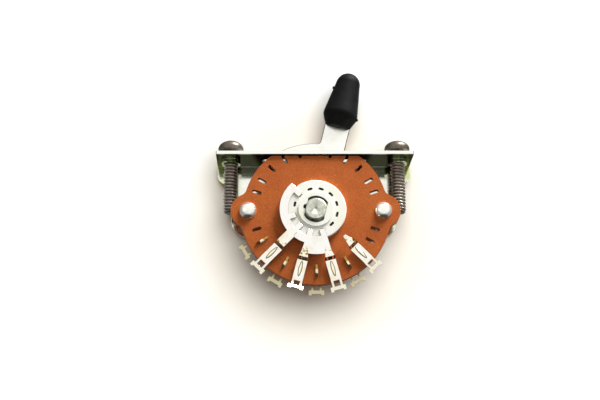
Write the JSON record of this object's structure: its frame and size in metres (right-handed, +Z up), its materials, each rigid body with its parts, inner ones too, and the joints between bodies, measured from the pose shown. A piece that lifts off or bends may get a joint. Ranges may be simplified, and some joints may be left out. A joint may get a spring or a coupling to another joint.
{
  "type": "guitar pickup selector switch",
  "caption": "Open-frame guitar pickup selector switch with a blade lever, a wafer of solder lugs and two panel screws.",
  "frame": {"origin": "middle of the mounting plate's top face, halfway between the panel screws", "axes": "+Z up out of the panel along the upright lever, +X along the slot to the right as seen from the contact side, +Y from the contact side to the back plate"},
  "size_m": [0.0482, 0.0144, 0.0576],
  "materials": {
    "zinc_plated_steel": "zinc plated, with a faint yellow-green passivation tint",
    "fibre_board": "satin, orange-brown paper laminate",
    "rotor_plastic": "ivory, low gloss",
    "silver_plate": "silver plated brass, polished",
    "dark_screw_steel": "dark plated, half gloss",
    "bright_nickel": "bright nickel plated",
    "lever_steel": "bright zinc plated",
    "spring_steel": "plain spring steel",
    "turned_brass": "turned, satin",
    "black_plastic": "satin black moulding"
  },
  "bodies": {
    "frame": {"frame_bracket": "zinc_plated_steel", "stator_wafer": "fibre_board", "front_common_contact": "silver_plate", "front_contact_1": "silver_plate", "front_contact_2": "silver_plate", "front_contact_3": "silver_plate", "back_common_contact": "silver_plate", "back_contact_1": "silver_plate", "back_contact_2": "silver_plate", "back_contact_3": "silver_plate", "panel_screw_left": "dark_screw_steel", "panel_screw_right": "dark_screw_steel", "wafer_rivet_left": "bright_nickel", "wafer_rivet_right": "bright_nickel", "spacer_left": "bright_nickel", "spacer_right": "bright_nickel", "detent_spring": "spring_steel", "spring_rivet_lower": "spring_steel", "spring_rivet_upper": "spring_steel", "shaft_bushing": "turned_brass"},
    "lever": {"lever": "lever_steel", "lever_tip": "black_plastic", "switch_shaft": "lever_steel", "rotor_front_disc": "rotor_plastic", "rotor_back_disc": "rotor_plastic", "front_contact_ring": "silver_plate", "back_contact_ring": "silver_plate", "thrust_washer": "lever_steel", "retaining_clip": "spring_steel"}
  },
  "joints": [
    {"name": "lever_swing", "type": "hinge", "parent": "frame", "child": "lever", "pos_m": [0, 0, -0.01495], "axis": [0, 1, 0], "range_deg": [-45, 15], "deforming": ["detent_spring"]}
  ]
}
